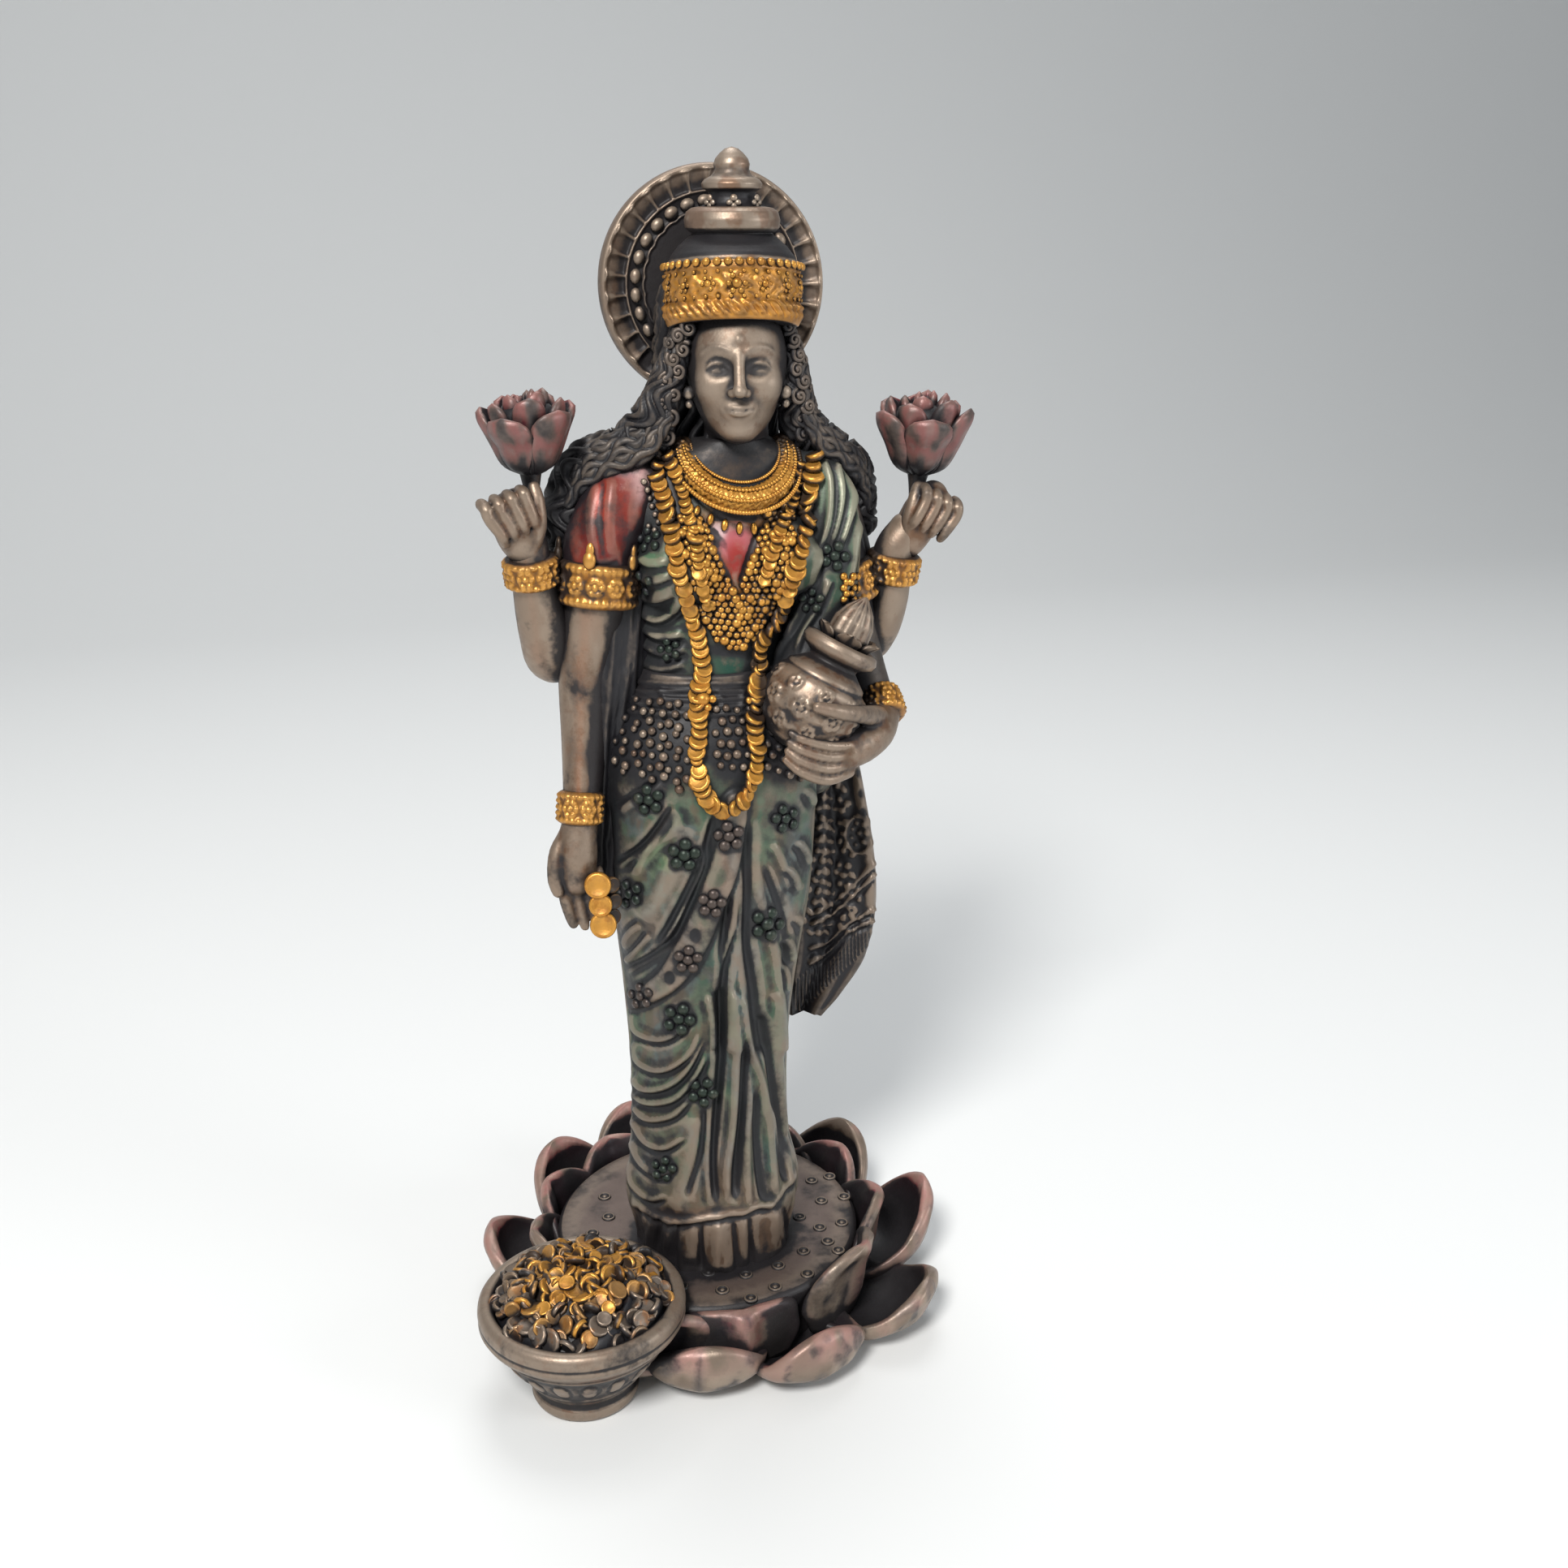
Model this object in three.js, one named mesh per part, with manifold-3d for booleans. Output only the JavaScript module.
// Small cast statuette of the goddess Lakshmi, four-armed, standing on an open lotus with a bowl of coins at her right foot.
// One casting: figure, halo, lotus, bowl and the cloth end behind the left leg are a single closed body with a flat underside.
// Units are millimetres, +Z is up, the figure faces -Y, and the origin lies on the underside in the middle of the whole piece.
import * as THREE from "three";
import { mergeVertices } from "three/addons/utils/BufferGeometryUtils.js";
import Module from "manifold-3d";

const wasm = await Module();
wasm.setup();

// ---- driving sizes -------------------------------------------------------
const HEIGHT = 180; // underside to the crown's tip
const AXIS_SHIFT = { x: 2.94, y: -3.98 }; // from the modelling axis to the middle of the whole piece
const LOTUS = { x: -3, y: 4, baseR: 23, discR: 25.6, discZ: 13 };
const BOWL = { x: -27.6, y: -16.9, rimR: 15.6, height: 17.4, footR: 7.9, heap: 7.2, bump: 1.1 };
const HALO = { x: 1.3, y: 9.8, z: 162.1, r: 16.2, thick: 2.6, facets: 36 };
const HEAD = { x: 1.8, y: -1.4, z: 151.4, rx: 7.1, ry: 8.2, rz: 9.6 };
const CROWN = { x: 1.8, y: -0.2, bandR: 9.3, bandLow: 157.6, bandTop: 165.6 };
const ARM = { shoulder: 5.2, elbow: 3.8, wrist: 2.6 };

// Petals of the lotus, one round outside the other: [angle about the lotus, radius of the tip, height of the tip].
const OUTER_PETALS = [
  [-105, 32.2, 9.6],
  [-71, 35, 10],
  [-37, 39, 12],
  [-4, 38.2, 16],
  [34, 37.4, 15.4],
  [66, 37, 15.6],
  [99, 37.6, 16],
  [130, 34.6, 16.6],
  [163, 37, 12],
  [196, 36, 12],
  [225, 33, 10],
];
const INNER_TIP = { r: 28.4, z: 16.4 };
const BETWEEN = { outerR: 31, outerZ: 4.6, innerR: 26.4, innerZ: 11.6 };

// ---- small tools ---------------------------------------------------------
const V = (x, y, z) => new THREE.Vector3(x, y, z);
const rad = THREE.MathUtils.degToRad;
const smooth = THREE.MathUtils.smoothstep;
const bell = (x, middle, width) => Math.exp(-(((x - middle) / width) ** 2));

// A closed geometry, welded, as a solid that can be joined and cut.
function solid(geometry) {
  const g = geometry.index ? geometry.toNonIndexed() : geometry.clone();
  const bare = new THREE.BufferGeometry().setAttribute("position", g.getAttribute("position"));
  const m = mergeVertices(bare, 1e-4);
  const tri = [];
  const ix = m.index.array;
  for (let i = 0; i < ix.length; i += 3)
    if (ix[i] !== ix[i + 1] && ix[i + 1] !== ix[i + 2] && ix[i] !== ix[i + 2])
      tri.push(ix[i], ix[i + 1], ix[i + 2]);
  const make = () =>
    new wasm.Manifold(
      new wasm.Mesh({
        numProp: 3,
        vertProperties: new Float32Array(m.attributes.position.array),
        triVerts: new Uint32Array(tri),
      }),
    );
  const s = make();
  if (s.volume() >= 0) return s;
  for (let i = 0; i < tri.length; i += 3) [tri[i + 1], tri[i + 2]] = [tri[i + 2], tri[i + 1]];
  return make();
}

// Moves every vertex of a geometry through a function of its own position.
function warp(geometry, f) {
  const p = geometry.attributes.position;
  for (let i = 0; i < p.count; i++) {
    const q = f(p.getX(i), p.getY(i), p.getZ(i));
    p.setXYZ(i, q.x, q.y, q.z);
  }
  return geometry;
}

// Reads a table of rows [key, a, b, ...] at a key, eased between rows.
function read(table, key) {
  if (key <= table[0][0]) return table[0].slice(1);
  const last = table[table.length - 1];
  if (key >= last[0]) return last.slice(1);
  let i = 0;
  while (key > table[i + 1][0]) i++;
  const [a, b] = [table[i], table[i + 1]];
  const h = b[0] - a[0];
  const t = (key - a[0]) / h;
  const before = table[Math.max(0, i - 1)];
  const after = table[Math.min(table.length - 1, i + 2)];
  return a.slice(1).map((_, k) => {
    const n = k + 1;
    const ma = i > 0 ? ((b[n] - before[n]) / (b[0] - before[0])) * h : b[n] - a[n];
    const mb = after !== b ? ((after[n] - a[n]) / (after[0] - a[0])) * h : b[n] - a[n];
    const t2 = t * t;
    const t3 = t2 * t;
    return (2 * t3 - 3 * t2 + 1) * a[n] + (t3 - 2 * t2 + t) * ma + (-2 * t3 + 3 * t2) * b[n] + (t3 - t2) * mb;
  });
}

// A column along Z whose oval section follows a table of [z, centre x, centre y, half width, half depth]; fold adds to the radius.
function column(table, around, rows, fold = () => 0) {
  const low = table[0][0];
  const high = table[table.length - 1][0];
  return warp(new THREE.CylinderGeometry(1, 1, 1, around, rows), (x, y, z) => {
    const h = low + (y + 0.5) * (high - low);
    const [cx, cy, rx, ry] = read(table, h);
    const r = Math.hypot(x, z);
    const a = Math.atan2(z, x);
    const k = r > 0 ? fold(a, h) : 0;
    return V(cx + r * Math.cos(a) * (rx + k), cy + r * Math.sin(a) * (ry + k), h);
  });
}

// A limb, lock or finger: a round section of changing radius along a smooth curve, with blunt round ends.
function limb(points, radii, around = 7, rows = 5) {
  const curve = new THREE.CatmullRomCurve3(points.map((p) => V(...p)), false, "centripetal");
  const n = points.length - 1;
  const radiusAt = (t) => {
    if (typeof radii === "number") return radii;
    const f = Math.min(t * n, n - 1e-6);
    const i = Math.floor(f);
    return THREE.MathUtils.lerp(radii[i], radii[i + 1], f - i);
  };
  const frames = [];
  let side = null;
  for (let j = 0; j <= rows; j++) {
    const t = j / rows;
    const along = curve.getTangent(t);
    if (!side) side = Math.abs(along.z) > 0.9 ? V(1, 0, 0) : V(0, 0, 1);
    side = side.clone().addScaledVector(along, -side.dot(along)).normalize();
    frames.push({ c: curve.getPoint(t), along, side, other: along.clone().cross(side), r: radiusAt(t) });
  }
  return warp(new THREE.CylinderGeometry(1, 1, 1, around, rows), (x, y, z) => {
    const j = Math.round((y + 0.5) * rows);
    const f = frames[j];
    const centre = x * x + z * z < 0.25;
    const push = centre ? (j === 0 ? -0.55 : 0.55) : 0;
    return f.c
      .clone()
      .addScaledVector(f.along, push * f.r)
      .addScaledVector(f.side, x * f.r)
      .addScaledVector(f.other, z * f.r);
  });
}

// An ellipsoid.
const egg = (c, r, w = 10, h = 6) => new THREE.SphereGeometry(1, w, h).scale(...r).translate(...c);

// A turned piece about a vertical axis through (x, y); its profile runs from the axis to the axis.
const turned = (x, y, profile, around) =>
  new THREE.LatheGeometry(profile.map(([r, z]) => new THREE.Vector2(r, z)), around).rotateX(Math.PI / 2).translate(x, y, 0);

// A petal: a cupped leaf whose rib follows [share, radius, height, half width, lift of the edges], set at an angle about an axis.
function petal(axis, angle, rib, thick, across = 4, along = 5) {
  const [c, s] = [Math.cos(rad(angle)), Math.sin(rad(angle))];
  return warp(new THREE.BoxGeometry(2, 1, 1, across, along, 1), (x, y, z) => {
    const t = y + 0.5;
    const [r, h, w, lift] = read(rib, t);
    const [r2, h2] = read(rib, Math.min(1, t + 0.02));
    const [r1, h1] = read(rib, Math.max(0, t - 0.02));
    const d = Math.hypot(r2 - r1, h2 - h1) || 1;
    const [nr, nh] = [-(h2 - h1) / d, (r2 - r1) / d];
    const up = lift * x * x + z * thick * (1 - 0.45 * Math.abs(x) ** 3);
    const [rr, hh, q] = [r + nr * up, h + nh * up, x * w];
    return V(axis.x + c * rr - s * q, axis.y + s * rr + c * q, hh);
  });
}

const pieces = [];
const add = (...gs) => gs.forEach((g) => pieces.push(solid(g)));

// ---- lotus ---------------------------------------------------------------
// One flower head: a flat seed disc inside two rounds of cupped petals, the inner tips standing over the outer gaps.
const { baseR, discR, discZ } = LOTUS;
{
  const n = OUTER_PETALS.length;
  const perPetal = 6;
  // Share s runs round the flower, one petal per unit, with a petal's tip at each whole number.
  const around = (s) => {
    const i = Math.floor(s);
    const f = s - i;
    const [a, b] = [OUTER_PETALS[((i % n) + n) % n], OUTER_PETALS[(((i + 1) % n) + n) % n]];
    const turn = (((b[0] - a[0]) % 360) + 360) % 360;
    const mix = (k) => a[k] * (1 - f) + b[k] * f;
    const outer = Math.abs(2 * Math.min(f, 1 - f)) ** 1.5; // 0 at a tip, 1 at a gap
    const inner = Math.abs(2 * Math.min(f, 1 - f) - 1) ** 1.4; // 0 over a gap, 1 over a tip
    return { angle: a[0] + f * turn, tipR: mix(1), tipZ: mix(2), outer, inner };
  };
  const rows = 11;
  add(
    warp(new THREE.CylinderGeometry(1, 1, 1, n * perPetal, rows), (x, y, z) => {
      const share = (Math.atan2(z, x) / (2 * Math.PI)) * n;
      const p = around(Math.round(share * perPetal) / perPetal);
      const reach = p.tipR + (BETWEEN.outerR - p.tipR) * p.outer;
      const high = p.tipZ + (BETWEEN.outerZ - p.tipZ) * p.outer;
      const inR = INNER_TIP.r + (BETWEEN.innerR - INNER_TIP.r) * p.inner;
      const inZ = INNER_TIP.z + (BETWEEN.innerZ - INNER_TIP.z) * p.inner;
      const profile = [
        [baseR, 0],
        [reach - 5.6 + p.outer, 0.8 + 1.2 * p.outer],
        [reach - 1.4, 1 + 0.3 * high + 0.6 * p.outer],
        [reach - 0.1, 0.66 * high + 0.8],
        [reach + 0.3, high],
        [reach - 0.7, high],
        [reach - 1.8, 0.64 * high + 1.4],
        [27.6, 0.35 * high + 2.4],
        [inR - 0.2, 0.7 * inZ],
        [inR + 0.5, inZ],
        [inR - 0.6, inZ],
        [discR - 1, discZ],
      ];
      const j = Math.round((y + 0.5) * rows);
      const [r, h] = profile[j];
      const k = Math.hypot(x, z) > 0.5 ? r : 0;
      return V(LOTUS.x + k * Math.cos(rad(p.angle)), LOTUS.y + k * Math.sin(rad(p.angle)), h);
    }),
  );
}

// ---- bowl of coins -------------------------------------------------------
const { x: bx, y: by, rimR, height: bh, footR } = BOWL;
add(
  turned(
    bx,
    by,
    [
      [0, 0],
      [footR, 0],
      [footR + 0.4, 1],
      [footR - 0.9, 3.2],
      [footR + 3.4, 8.4],
      [rimR - 1.8, 12.6],
      [rimR, 14],
      [rimR - 0.2, bh],
      [rimR - 2.2, bh - 0.2],
      [rimR - 2.6, bh - 2],
      [0, bh - 2.6],
    ],
    22,
  ),
);
// The heap of coins: a mound with lumps where coins stand up.
add(
  warp(new THREE.SphereGeometry(1, 16, 8), (x, y, z) => {
    const lump = BOWL.bump * Math.sin(9 * x + 2) * Math.sin(9 * y + 1) * Math.max(0, z);
    return V(bx + x * (rimR - 2), by + y * (rimR - 2), bh - 3.4 + z * (BOWL.heap - 0.8) + lump);
  }),
);

// ---- skirt ---------------------------------------------------------------
const skirtTable = [
  [12.2, -3, -0.5, 13.2, 12.4],
  [18, -3, -0.6, 13.2, 12.3],
  [24, -3.1, -0.7, 13.7, 12.6],
  [32, -3.6, -0.8, 12.5, 11.3],
  [45, -3.4, -0.9, 12.1, 10.8],
  [60, -3.1, -1.1, 13, 11.1],
  [75, -2.6, -1.3, 15, 11.7],
  [88, -2.4, -1.3, 15.8, 12],
  [94, -2.5, -1.3, 16, 12.3],
  [100, -2.5, -1.1, 15, 11.7],
  [109, -2.4, -0.4, 11.2, 9.2],
];
// Drapery: upright pleats down the front and back, drooping swags round the right shin, slanting folds over the thighs.
function skirtFold(a, z) {
  const deg = (a * 180) / Math.PI;
  const pleat = 0.9 * Math.sin(rad(deg) * 10 + 0.5) * bell(deg, -76, 34) * smooth(98 - z, 0, 40);
  const swag = 0.7 * Math.sin((z - 0.008 * (deg + 124) ** 2) * 0.42) * bell(deg, -130, 32) * smooth(z, 24, 32) * (1 - smooth(z, 58, 66));
  const slant = 0.6 * Math.sin((z - 0.4 * deg) * 0.36) * bell(deg, -126, 36) * smooth(z, 62, 70) * (1 - smooth(z, 88, 94));
  const pulls = 0.5 * Math.sin((z + 0.5 * deg) * 0.36) * bell(deg, -20, 24) * smooth(z, 50, 62) * (1 - smooth(z, 90, 97));
  const back = 0.5 * Math.cos(rad(deg) * 6) * Math.max(0, Math.sin(a)) * smooth(100 - z, 0, 30);
  return pleat + swag + slant + pulls + back;
}
add(column(skirtTable, 28, 14, skirtFold));
// The toes under the hem.
for (const [x, y] of [[-9, -13.4], [0.6, -14]]) add(egg([x, y, 14], [2.6, 3.4, 2.2], 6, 4));

// ---- cloth end hanging behind the left leg -------------------------------
const endCloth = [
  [0, 17.4, 98, 5.2],
  [0.2, 18.2, 87, 5.4],
  [0.5, 18.8, 70, 7.4],
  [0.75, 17.8, 58, 7],
  [0.9, 15.6, 51.5, 5],
  [1, 14.2, 48, 3],
];
add(
  warp(new THREE.BoxGeometry(2, 1, 1, 3, 6, 1), (x, y, z) => {
    const t = y + 0.5;
    const [cx, cz, w] = read(endCloth, t);
    return V(cx + x * w, 7 + 0.7 * Math.sin(x * 5 + t * 4) + z * 4 - 1.4 * x, cz + x * w * 0.5 * t);
  }),
);

// ---- torso ---------------------------------------------------------------
add(
  column(
    [
      [104, -2.5, -0.6, 11.4, 9.4],
      [110, -2.2, -0.4, 10.4, 8.2],
      [116, -1.4, -0.2, 11, 8.3],
      [122, -0.6, 0, 12.6, 8.8],
      [127, 0, 0.3, 14, 8.8],
      [132, 0.4, 0.6, 15.8, 8.2],
      [136, 0.7, 1, 15, 7],
      [139.4, 1, 1, 10.6, 6],
      [142, 1.4, 0.6, 5.4, 5],
    ],
    18,
    9,
    // the strings of beads lie in a heap over the breastbone
    (a, z) => 1.8 * bell((a * 180) / Math.PI, -84, 16 + (z - 112) * 0.7) * smooth(z, 110, 116),
  ),
  egg([-6.6, -5.2, 125.4], [6.2, 5.2, 6], 8, 6),
  egg([6.6, -5.2, 125.2], [6.2, 5.2, 6], 8, 6),
);
// Web of metal between the hanging arm and the body, and cloth behind the bent arm.
add(
  limb([[-15, 1.4, 128], [-15.6, 1, 112], [-18.6, 0, 96], [-19.4, -0.4, 74]], [4, 5, 3.8, 1.8], 6, 4),
  limb([[13, 2.4, 130], [13.6, 2, 116], [15.6, 2, 104], [14, 3, 90]], [5, 5.6, 5.6, 4], 7, 4),
);
// Neck collar, the long garland and the heap of beads between its strings.
const collar = [];
for (let i = 0; i <= 6; i++) {
  const a = Math.PI * (1 + i / 6);
  collar.push([1.6 + 8.2 * Math.cos(a), -1.4 + 6.8 * Math.sin(a), 139.6 + 6.4 * Math.sin(a)]);
}
add(limb(collar, 1.8, 4, 6));
add(
  limb([[-9.6, -5.4, 139], [-9, -9.2, 131], [-7.6, -12, 122], [-6, -9.8, 112], [-6.6, -12, 104], [-7, -13.6, 97.4], [-5.6, -14.2, 93], [-3.2, -14.4, 91.6], [-0.8, -14.2, 93], [0.6, -13.6, 97.4], [1, -12, 104], [1.6, -10, 112], [4.6, -12, 120], [9, -10, 130], [11, -4.6, 139]], 1.6, 4, 20),
);

// ---- head, hair and crown ------------------------------------------------
add(
  limb([[1.3, 0.2, 136], [1.6, -0.8, 146]], [5, 4.4], 8, 1),
  egg([HEAD.x, HEAD.y, HEAD.z], [HEAD.rx, HEAD.ry, HEAD.rz], 12, 8),
  limb([[HEAD.x, HEAD.y - 7.4, 154.6], [HEAD.x, HEAD.y - 8.6, 150]], [0.8, 1.2], 5, 1),
  egg([HEAD.x, HEAD.y - 6.2, 144.2], [2.6, 2, 2.2], 6, 4),
);
const { bandR, bandLow, bandTop } = CROWN;
add(
  turned(
    CROWN.x,
    CROWN.y,
    [
      [0, bandLow - 2],
      [bandR - 0.2, bandLow],
      [bandR, bandTop - 0.6],
      [bandR - 1, bandTop],
      [6.2, 168.8],
      [6.6, 170.4],
      [6.2, 172.4],
      [4.3, 173.2],
      [4.8, 175.2],
      [3.6, 177],
      [2, 177.8],
      [0, HEIGHT],
    ],
    14,
  ),
);
// Halo: a round disc standing behind the head.
add(new THREE.CylinderGeometry(HALO.r, HALO.r, HALO.thick, HALO.facets, 1).translate(HALO.x, HALO.y, HALO.z));
// Hair: a mass behind the neck, and locks that fall over the shoulders and down behind the right arms.
add(
  limb([[1.6, 5, 160], [1.4, 5.6, 147], [0.8, 4.6, 134], [0.8, 5, 116]], [8, 9.4, 11, 8], 8, 4),
  limb([[-5.4, 0, 157], [-7.2, -0.4, 150], [-8.8, 0.6, 144.4], [-13, 2, 140.6], [-18.6, 3, 138.4], [-21.6, 3.6, 131], [-21.6, 3.6, 119]], [1.8, 2.6, 3.4, 3.6, 3.6, 3.6, 3], 6, 7),
  limb([[9, 0, 157], [10.6, -0.4, 150], [11.2, 0.6, 145], [15, 2, 140.2], [20, 3.6, 136], [21.6, 4.6, 128]], [1.8, 2.2, 3, 3.2, 3.2, 2.8], 6, 6),
);

// ---- arms ----------------------------------------------------------------
const { shoulder, elbow, wrist } = ARM;
const fingers = (n, from, step, bend, bendStep, tip, tipStep, r) => {
  for (let i = 0; i < n; i++) {
    const at = (p, s) => p.map((v, k) => v + i * s[k]);
    add(limb([at(from, step), at(bend, bendStep), at(tip, tipStep)], [r, r, r * 0.8], 4, 2));
  }
};
// The closed fingers of a fist: four rolls side by side.
const knuckles = (a, b, r) => {
  const line = [...Array(9)].map((_, i) => a.map((v, k) => v + ((b[k] - v) * i) / 8));
  add(limb(line, line.map((_, i) => (i % 2 ? r : r * 0.78)), 6, 8));
};
// Right side of the figure (at -X): one arm hangs with an open hand that lets coins fall.
add(
  limb([[-13.4, 0.4, 134.4], [-17.2, 0, 129], [-18.4, -0.6, 121], [-20.4, 0.2, 110], [-21.4, -2, 99], [-22.8, -5, 90]], [shoulder, 5.4, 4.9, elbow, 3.3, 2.4], 8, 7),
  limb([[-18, -0.8, 124.6], [-18.6, -0.8, 119.8]], 5.8, 8, 1),
  limb([[-22.7, -5, 92.4], [-23.1, -5.6, 89.2]], 3.1, 8, 1),
  limb([[-23.2, -5.6, 89], [-24, -6, 84.6], [-24, -6, 80]], [2.4, 3.4, 3.4], 6, 2),
  limb([[-25, -5.6, 87], [-27, -6.4, 83.6], [-27.2, -7.2, 79.8]], [1.7, 1.6, 1.1], 5, 2),
);
fingers(4, [-26.2, -6, 80.6], [1.75, 0, 0], [-25.6, -7.2, 76.8], [1.7, 0, 0], [-24.8, -8, 73.6], [1.5, 0, -0.2], 1.15);
for (let i = 0; i < 3; i++)
  add(new THREE.CylinderGeometry(2, 2, 1.5, 7).rotateX(0.35).translate(-21.8 + 0.3 * i, -9.2 - 0.2 * i, 80.4 - 2.9 * i));
// The other is raised and holds a lotus.
add(
  limb([[-15, 4, 130], [-20.6, 4.6, 117], [-24, 3.8, 111.4], [-26, 0.8, 116], [-27.4, -1.2, 123], [-28, -1.8, 129]], [4.4, 4.2, 4, 3.7, 3, 2.6], 7, 7),
  limb([[-27.8, -1.4, 126.4], [-27.6, -1.2, 123.4]], 3.7, 8, 1),
  limb([[-30, -2, 130], [-30.8, -2.4, 135]], [3.1, 3.4], 7, 1),
  limb([[-27, -3, 127.6], [-26.4, -3.4, 133], [-27, -1.4, 139]], [1.3, 1.2, 1.1], 4, 2),
);
knuckles([-33.6, -4.2, 131.4], [-28.4, -4.8, 135.2], 2.2);
// Left side (at +X): one arm raised with a lotus, one bent to carry the water pot.
add(
  limb([[14.4, 1, 134], [19, 3.6, 124], [22.4, 4, 111.6], [23.8, 1.8, 112.4], [24.9, -0.6, 118], [25.3, -1.6, 124.6], [27.4, -2, 128]], [shoulder, 4.4, 3.8, 3.6, 3.2, 2.9, 2.7], 7, 8),
  limb([[25.5, -1.4, 124], [25.2, -1.2, 121]], 4, 8, 1),
  limb([[28.6, -2, 127.4], [30.8, -2.2, 132]], [2.8, 3.1], 7, 1),
  limb([[27.4, -3.2, 127], [26.8, -3.4, 131.6], [28.8, -1.4, 137]], [1.3, 1.2, 1.1], 4, 2),
);
knuckles([33.6, -4.2, 129.6], [28.6, -4.8, 133], 2.2);
add(
  limb([[15, -0.6, 133.6], [17.4, -1, 122], [19.4, -2, 110], [21.2, -4, 104], [22, -7.2, 102]], [5, 4.6, 4, 3.6, 2.8], 7, 6),
  limb([[22.4, -5.4, 103], [22.2, -7.8, 101.6]], 3, 8, 1),
  limb([[22, -8, 101.6], [17.4, -13, 99.4], [12, -14.6, 98.4]], [2.6, 3.4, 2.6], 6, 2),
);
fingers(3, [13.6, -15.2, 97.4], [0.6, 0, 1.3], [10.4, -17, 97.6], [0.3, -0.3, 1.3], [6.8, -16.8, 99], [0.2, -0.4, 1.5], 1.25);
add(limb([[19.6, -11.6, 102.4], [14.4, -17.8, 104.6], [8.6, -18.8, 107]], [1.8, 1.5, 1], 5, 2));
// Water pot with its leaves and coconut, leaning to the left.
{
  const pot = (g) => g.rotateY(0.5).translate(10.2, -10.6, 105.4);
  add(
    pot(turned(0, 0, [[0, -7.2], [4, -6.4], [7, -3], [7.5, 0.8], [6, 4.2], [3.7, 6.4], [5.2, 8.2], [4.9, 9.2], [0, 9.6]], 12)),
    pot(
      warp(new THREE.CylinderGeometry(4.6, 3.2, 1, 10, 2), (x, y, z) => {
        // five broad leaves round a coconut
        const r = Math.hypot(x, z);
        const leaf = Math.cos(5 * Math.atan2(z, x));
        return r < 1 ? V(0, 0, y > 0 ? 16.4 : 9) : V(x * (1 + 0.12 * leaf), z * (1 + 0.12 * leaf), y > 0 ? 13 + leaf : y < 0 ? 9 : 10.8);
      }),
    ),
  );
}
// Lotus buds in the raised hands: six cupped petals on a short stem, closed in the middle by the inner ones.
function bud(x, y, z, size, lean) {
  const rows = 6;
  const g = warp(new THREE.CylinderGeometry(1, 1, 1, 24, rows), (px, py, pz) => {
    const a = Math.atan2(pz, px);
    const tip = Math.abs(Math.cos(3 * a)) ** 1.4; // 1 on a petal's middle, 0 between petals
    const profile = [
      [1.1, -3.6],
      [1.6, 0],
      [4.6 + 0.3 * tip, 2.6],
      [5.9 + 0.7 * tip, 6.2],
      [6.2 + 0.9 * tip, 7.6 + 2.8 * tip],
      [5.6 + 0.3 * tip, 7.4 + 2.6 * tip],
      [3.6, 8.6 - 0.8 * tip],
    ];
    const [r, h] = profile[Math.round((py + 0.5) * rows)];
    if (Math.hypot(px, pz) < 0.5) return V(0, 0, py > 0 ? 10.4 : h);
    return V(r * Math.cos(a), r * Math.sin(a), h);
  });
  add(g.scale(size, size, size).rotateY(lean).translate(x, y, z));
}
bud(-27, -0.4, 138.6, 0.93, -0.02);
bud(29.4, -0.4, 136.3, 0.98, 0.08);

// ---- one casting ---------------------------------------------------------
const union = wasm.Manifold.union(pieces);
// Nothing reaches below the flat underside.
const cast = union.subtract(solid(new THREE.BoxGeometry(200, 200, 20).translate(0, 0, -10)));
const shell = cast.getMesh();
const geometry = new THREE.BufferGeometry()
  .setAttribute("position", new THREE.BufferAttribute(new Float32Array(shell.vertProperties), 3))
  .setIndex(new THREE.BufferAttribute(new Uint32Array(shell.triVerts), 1));
geometry.computeVertexNormals();

const figure = new THREE.Mesh(
  geometry,
  new THREE.MeshStandardMaterial({ color: 0x6b5f56, roughness: 0.42, metalness: 0.7 }),
);
figure.name = "lakshmi_figure";
const statuette = new THREE.Group();
statuette.add(figure);
statuette.position.set(AXIS_SHIFT.x, AXIS_SHIFT.y, 0);
export default statuette;
